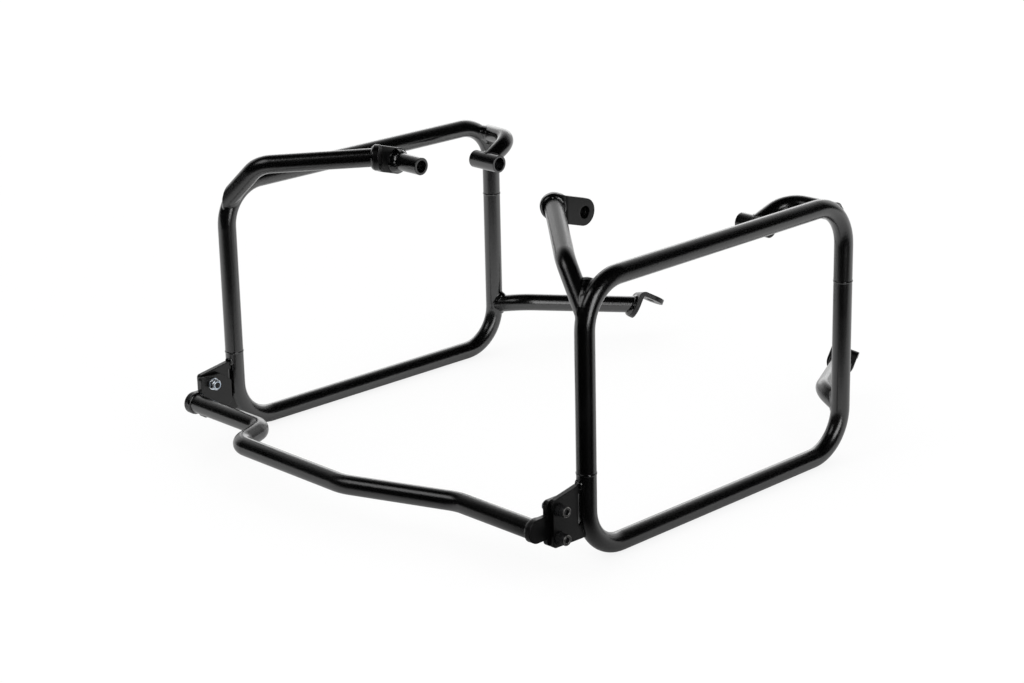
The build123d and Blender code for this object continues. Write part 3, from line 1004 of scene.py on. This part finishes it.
def bolt_places(layout, fasteners, side, outward, way):
    """Matrices that stand a shape on each of a side's two bolt axes, facing out for 1 and in for -1."""
    axis = layout.facing(side) * (side * way)
    turn = Matrix((UP, axis.cross(UP), axis)).transposed().to_4x4()
    lead = layout.back - fasteners.setback
    made = []
    for index, rise in enumerate((-1, 1)):
        height = fasteners.middle + rise * fasteners.spread / 2
        spot = layout.on_hoop(side, lead, height, outward)
        spin = math.radians(FIRST_SPIN + NEXT_SPIN * index + SIDE_SPIN * side)
        made.append(Matrix.Translation(spot) @ turn @ Matrix.Rotation(spin, 4, "Z"))
    return made


def hexagon(width, low, high):
    """A hexagonal bar between two heights."""
    return added(
        bpy.ops.mesh.primitive_cylinder_add, vertices=6, radius=width / 2 / FLATS_TO_CORNERS,
        depth=high - low, location=(0.0, 0.0, (low + high) / 2),
    )


def crease(piece, angle):
    """Shades a piece smooth, but for edges sharper than an angle in degrees."""
    select(piece)
    bpy.ops.object.shade_smooth_by_angle(angle=math.radians(angle))


def threaded_rod(diameter, pitch, depth, foot):
    """A closed length of screw thread that starts at a height and winds up from there."""
    root = diameter / 2 - depth
    piece = added(
        bpy.ops.mesh.primitive_plane_add, size=pitch, rotation=(0.0, math.pi / 2, 0.0),
        location=(root, pitch / 2, foot + pitch / 2),
    )
    with editing(piece):
        pick(lambda place: place.y > pitch / 2)
        bpy.ops.mesh.delete(type="VERT")
        bpy.ops.mesh.select_all(action="SELECT")
        bpy.ops.mesh.subdivide(number_cuts=3)
        pick(lambda place: abs(place.z - foot - pitch / 2) < pitch * 0.3)
        bpy.ops.transform.translate(value=(depth, 0.0, 0.0))
    apply_modifier(
        piece, "SCREW", angle=math.tau, screw_offset=pitch, iterations=THREAD_TURNS, steps=THREAD_STEPS,
        render_steps=THREAD_STEPS, use_merge_vertices=True, merge_threshold=THREAD_GAP,
    )
    with editing(piece):
        close_up()
        bpy.ops.mesh.fill_holes(sides=0)
        close_up()
    return piece


def bolt_head(fasteners, mouth_radius):
    """A bolt's head on the origin: knurled and chamfered, with a hexagon socket."""
    radius = fasteners.head_diameter / 2
    top = fasteners.head_height
    edge = fasteners.head_edge
    side = [(radius - edge * 0.5, 0.0), (radius, edge * 0.5)]
    rim = [(radius - edge * inset, top - edge * drop) for inset, drop in HEAD_RIM]
    head = turned(side + rim, KNURL_EDGES)

    def in_groove(place):
        """Every second edge of the head's side."""
        turn = round(math.atan2(place.y, place.x) / math.tau * KNURL_EDGES)
        return edge * 0.3 < place.z < top - edge * 1.2 and turn % 2 == 0

    with editing(head):
        pick(in_groove)
        widen(1.0 - fasteners.knurl_depth / radius)
    socket_floor = top - fasteners.socket_depth
    socket = hexagon(fasteners.socket_width, socket_floor, top + edge)
    with editing(socket):
        pick(lambda place: place.z < socket_floor + edge * 0.1)
        extrude((0.0, 0.0, -edge))
        widen(SOCKET_POINT)
        close_up()
    combine(head, socket, "DIFFERENCE")
    lead_in = [(mouth_radius * 0.86, top - edge * 0.6), (mouth_radius * 1.12, top + edge * 0.2)]
    combine(head, turned(lead_in, SOCKET_SIDES), "DIFFERENCE")
    return head


def socket_bolt(fasteners):
    """A socket head bolt on the origin, its head up, with a thread and a wear attribute."""
    radius = fasteners.head_diameter / 2
    top = fasteners.head_height
    edge = fasteners.head_edge
    mouth_radius = fasteners.socket_width / 2 / FLATS_TO_CORNERS
    head = bolt_head(fasteners, mouth_radius)
    pitch = fasteners.thread_pitch
    depth = fasteners.thread_depth
    foot = -fasteners.bolt_length
    thread_top = foot + pitch * (THREAD_TURNS + 1)
    plain = fasteners.thread / 2
    neck = [(plain * 0.84, thread_top - pitch), (plain, thread_top), (plain, edge)]
    shank = turned(neck, ROD_SIDES)
    rod = threaded_rod(fasteners.thread, pitch, depth, foot)
    cone = [(plain - depth * 1.1, foot + pitch * 0.2), (plain * 1.1, foot + pitch * 1.2)]
    cone.append((plain * 1.1, thread_top + pitch))
    combine(rod, turned(cone, ROD_SIDES), "INTERSECT")
    bolt = joined("socket_bolt", [head, shank, rod])
    wear = bolt.data.attributes.new("wear", "FLOAT", "POINT")
    for vertex in bolt.data.vertices:
        height = vertex.co.z
        reach = math.hypot(vertex.co.x, vertex.co.y)
        zone = "rest"
        if height > top - edge * 1.2 and reach > radius - edge * 1.6:
            zone = "rim"
        elif height > top - edge and reach < mouth_radius * 1.2:
            zone = "mouth"
        elif 0.0 < height < top - edge and reach > radius * 0.995:
            zone = "ridge"
        elif height < 0.0 and reach > plain * 0.97:
            zone = "ridge"
        wear.data[vertex.index].value = WEAR[zone]
    crease(bolt, BOLT_CREASE)
    return bolt


class FitBolts(PieceOperator, bpy.types.Operator):
    """Puts a knurled and threaded socket bolt in the place of each plain one"""

    bl_idname = "pannier.fit_bolts"
    bl_label = "Fit the bolts"

    def execute(self, context):
        fasteners = context.scene.pannier_fasteners
        layout = Layout(context.scene.pannier_tubes)
        finish = finish_named("black_oxide", black_oxide, context.scene.pannier_finish)
        master = socket_bolt(fasteners)
        for name, side in SIDES.items():
            places = bolt_places(layout, fasteners, side, fasteners.head_seat, 1)
            piece = joined(f"{name}_socket_bolts", copies(master, places))
            hand_over(piece, finish)
            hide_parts(f"{name}_bolts")
        bpy.data.objects.remove(master)
        return DONE


def lock_nut(fasteners):
    """A lock nut on the origin, its collar up: a chamfered hexagon, a rolled collar and a nylon insert."""
    flats = fasteners.nut_width / 2
    corners = flats / FLATS_TO_CORNERS
    top = fasteners.nut_height
    rise = fasteners.collar_height
    body_top = top - rise
    # The hexagon runs past the barrel's ends, because a cut with end faces in one plane can come out torn
    body = hexagon(fasteners.nut_width, -OVERSHOOT, body_top + OVERSHOOT)
    wide, narrow = corners * 1.01, flats * 0.93
    slope = (corners - flats * 0.95) * 0.75
    barrel = [(narrow, 0.0), (wide, slope), (wide, body_top - slope), (narrow, body_top)]
    combine(body, turned(barrel, BEVEL_SIDES), "INTERSECT")
    collar_radius = fasteners.collar_diameter / 2
    roll = [(collar_radius * reach, body_top + rise * lift) for reach, lift in COLLAR_ROLL]
    combine(body, turned(roll, COLLAR_SIDES), "UNION")
    bore = fasteners.thread / 2 * BORE_ROOM
    recess = roll[-1][0]
    recess_floor = top - rise * 0.45
    steps = [(bore * 1.17, -bore * 0.03), (bore, bore * 0.16), (bore, recess_floor)]
    steps += [(recess, recess_floor), (recess, top + OVERSHOOT)]
    combine(body, turned(steps, SOCKET_SIDES), "DIFFERENCE")
    ring = [(recess * 0.995, top - rise * 0.6), (recess * 0.995, top - rise * 0.3)]
    ring.append((recess * 0.93, top - rise * 0.18))
    insert = turned(ring, COLLAR_SIDES)
    hole = [(bore * 0.99, 0.0), (bore * 0.99, top + OVERSHOOT)]
    combine(insert, turned(hole, ROD_SIDES), "DIFFERENCE")
    crease(body, NUT_CREASE)
    crease(insert, NUT_CREASE)
    return body, insert


class FitLockNuts(PieceOperator, bpy.types.Operator):
    """Puts a chamfered lock nut with its nylon insert in the place of each plain one"""

    bl_idname = "pannier.fit_lock_nuts"
    bl_label = "Fit the lock nuts"

    def execute(self, context):
        fasteners = context.scene.pannier_fasteners
        settings = context.scene.pannier_finish
        layout = Layout(context.scene.pannier_tubes)
        zinc = finish_named("zinc_plate", zinc_plate, settings)
        plastic = finish_named("nylon_insert", nylon, settings)
        body, insert = lock_nut(fasteners)
        for name, side in SIDES.items():
            places = bolt_places(layout, fasteners, side, -fasteners.nut_seat, -1)
            nuts = joined(f"{name}_insert_nuts", copies(body, places))
            hand_over(nuts, zinc)
            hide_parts(f"{name}_lock_nuts")
            rings = joined(f"{name}_nut_inserts", copies(insert, places))
            hand_over(rings, plastic)
        bpy.data.objects.remove(body)
        bpy.data.objects.remove(insert)
        return DONE


# Studio, with lengths in metres but for the camera's sensor

SENSOR_WIDTH = 36.0
CLIP_START = 0.05
CLIP_END = 100.0
FLOOR_SINK = 0.0002
FLOOR_SQUARES = 8
COVE_WHITE = -0.72
COVE_DARK = -0.3
# Each softbox's width, height and place, the last one's place being behind the frame and up
LEFT_BOX = (0.8, 0.8, Vector((-0.34, -1.34, 1.5)))
RIGHT_BOX = (0.8, 1.5, Vector((1.87, -0.48, 0.65)))
BACK_BOX = (2.4, 1.2)
BACK_BOX_DISTANCE = 3.2
BACK_BOX_HEIGHT = 0.9
AIM = Vector((0.0, 0.0, 0.12))


def camera_axes(settings):
    """The camera's right, up and backward ways, from its yaw, pitch and roll."""
    yaw, pitch, roll = settings.yaw, settings.pitch, settings.roll
    ahead = Vector((-math.sin(yaw) * math.cos(pitch), math.cos(yaw) * math.cos(pitch), -math.sin(pitch)))
    level = Vector((math.cos(yaw), math.sin(yaw), 0.0))
    down = ahead.cross(level)
    right = level * math.cos(roll) + down * math.sin(roll)
    below = down * math.cos(roll) - level * math.sin(roll)
    return right, -below, -ahead


def ray_kinds(nodes):
    """Whether a ray comes from the camera, and whether from a mirror or glass."""
    camera = nodes.add("ShaderNodeLightPath", output="Is Camera Ray")
    return camera, camera.other("Is Glossy Ray") + camera.other("Is Transmission Ray")


class SetStudio(PieceOperator, bpy.types.Operator):
    """Sets up the floor, the white cove, the lights and the camera"""

    bl_idname = "pannier.set_studio"
    bl_label = "Set up the studio"

    def execute(self, context):
        settings = context.scene.pannier_studio
        right, up, backward = camera_axes(settings)
        layout = Layout(context.scene.pannier_tubes)
        eye = Vector(settings.eye) + Vector((0.0, layout.middle, 0.0))
        self.camera(context, settings, eye, Matrix((right, up, backward)).transposed())
        open_side = Vector((backward.x, backward.y, 0.0)).normalized()
        self.floor(settings, open_side)
        self.cove(context, settings, open_side)
        self.lights(settings, open_side)
        context.scene.view_settings.view_transform = "Standard"
        return DONE

    def camera(self, context, settings, eye, turn):
        """The camera at the photo's angle."""
        start_clean()
        bpy.ops.object.camera_add(location=eye, rotation=turn.to_euler())
        camera = bpy.context.object
        camera.name = "photo_camera"
        camera.data.sensor_fit = "HORIZONTAL"
        camera.data.sensor_width = SENSOR_WIDTH
        camera.data.lens = settings.lens
        camera.data.clip_start = CLIP_START
        camera.data.clip_end = CLIP_END
        context.scene.camera = camera

    def floor(self, settings, open_side):
        """A pale floor that shows white and keeps the frame's shadow; in reflections alone its colour
        carries painted shade, dimmer across its front and dark on the open side.
        """
        floor = added(
            bpy.ops.mesh.primitive_grid_add, x_subdivisions=FLOOR_SQUARES, y_subdivisions=FLOOR_SQUARES,
            size=settings.floor_size, location=(0.0, 0.0, -FLOOR_SINK),
        )
        floor.name = "studio_floor"
        material = bpy.data.materials.new("floor_white")
        nodes = Nodes(material)
        camera, mirrored = ray_kinds(nodes)
        ahead = nodes.along(nodes.place("Object"), open_side)
        edge = settings.floor_reach
        # Painted shade: in reflections the floor's colour is dimmed across the front and goes dark towards
        # the camera
        painted_front_shade = nodes.ramp(ahead, -edge, edge) * settings.floor_shade
        seen = nodes.ramp(ahead, edge, edge + settings.floor_fade, 1.0, settings.dark_side) - painted_front_shade
        tint = settings.floor * (1.0 - mirrored + mirrored * nodes.ramp(seen, 0.0, 1.0))
        paint = nodes.add("ShaderNodeBsdfDiffuse", {"Color": tint})
        glow = nodes.add("ShaderNodeEmission", {"Color": (1.0, 1.0, 1.0, 1.0), "Strength": 1.0})
        mix = nodes.add("ShaderNodeMixShader", {0: camera * settings.floor_lift, 1: paint, 2: glow})
        nodes.add("ShaderNodeOutputMaterial", {"Surface": mix})
        material.cycles.emission_sampling = "NONE"
        floor.data.materials.append(material)

    def cove(self, context, settings, open_side):
        """A white surround that is open, and dark in reflections, towards the camera and overhead."""
        world = bpy.data.worlds.new("white_cove")
        context.scene.world = world
        nodes = Nodes(world)
        camera, mirrored = ray_kinds(nodes)
        way = nodes.place("Generated")
        turned_to = nodes.along(way, open_side)
        height = nodes.add("ShaderNodeSeparateXYZ", {0: way}, output="Z")
        top = settings.wall_height
        wall = nodes.ramp(height, top, top + settings.wall_fade, 1.0, settings.dark_side)
        seen = nodes.ramp(turned_to, COVE_WHITE, COVE_DARK, 1.0, settings.dark_side) * wall
        lit = (1.0 - camera - mirrored) * settings.fill
        sky = nodes.add("ShaderNodeBackground", {"Color": lit + camera + mirrored * seen, "Strength": 1.0})
        nodes.add("ShaderNodeOutputWorld", {"Surface": sky})
        world.cycles.sampling_method = "NONE"

    def lights(self, settings, open_side):
        """Softboxes high on the left, low on the right and low behind."""
        behind = open_side * -BACK_BOX_DISTANCE + UP * BACK_BOX_HEIGHT
        lamps = {
            "left_softbox": (settings.left_box, *LEFT_BOX),
            "right_softbox": (settings.right_box, *RIGHT_BOX),
            "back_softbox": (settings.back_box, *BACK_BOX, behind),
        }
        for name, (power, wide, tall, place) in lamps.items():
            start_clean()
            turn = (AIM - place).to_track_quat("-Z", "Y").to_euler()
            bpy.ops.object.light_add(type="AREA", location=place, rotation=turn)
            lamp = bpy.context.object
            lamp.name = name
            lamp.data.shape = "RECTANGLE"
            lamp.data.size = wide
            lamp.data.size_y = tall
            lamp.data.energy = power


# Sidebar, registration and the run


class PannierPanel(bpy.types.Panel):
    """Lists the dressing's steps and what they can be set to"""

    bl_idname = "VIEW3D_PT_pannier"
    bl_label = "Pannier frame"
    bl_space_type = "VIEW_3D"
    bl_region_type = "UI"
    bl_category = "Pannier frame"

    def draw(self, context):
        for step in STEPS:
            self.layout.operator(step.bl_idname)
        for name in GROUPS:
            box = self.layout.box()
            settings = getattr(context.scene, name)
            for key in settings.bl_rna.properties.keys():
                if key not in ("rna_type", "name"):
                    box.prop(settings, key)


GROUPS = {
    "pannier_tubes": TubeSizes,
    "pannier_welds": WeldSizes,
    "pannier_fasteners": FastenerSizes,
    "pannier_finish": FinishSettings,
    "pannier_studio": StudioSettings,
}
STEPS = (
    CoatNodes,
    WeldSeams,
    WeldArms,
    WeldArmEnds,
    WeldGussets,
    WeldCrossBar,
    FitBolts,
    FitLockNuts,
    SetStudio,
)


def register():
    """Registers the settings, the steps and the panel."""
    for name, group in GROUPS.items():
        bpy.utils.register_class(group)
        setattr(bpy.types.Scene, name, bpy.props.PointerProperty(type=group))
    for step in (*STEPS, PannierPanel):
        bpy.utils.register_class(step)


def unregister():
    """Takes the panel, the steps and the settings away."""
    for step in reversed((*STEPS, PannierPanel)):
        bpy.utils.unregister_class(step)
    for name, group in GROUPS.items():
        delattr(bpy.types.Scene, name)
        bpy.utils.unregister_class(group)


def main():
    """Dresses the frame step by step."""
    register()
    for step in STEPS:
        group, action = step.bl_idname.split(".")
        getattr(getattr(bpy.ops, group), action)()
    start_clean()


if __name__ == "__main__":
    main()
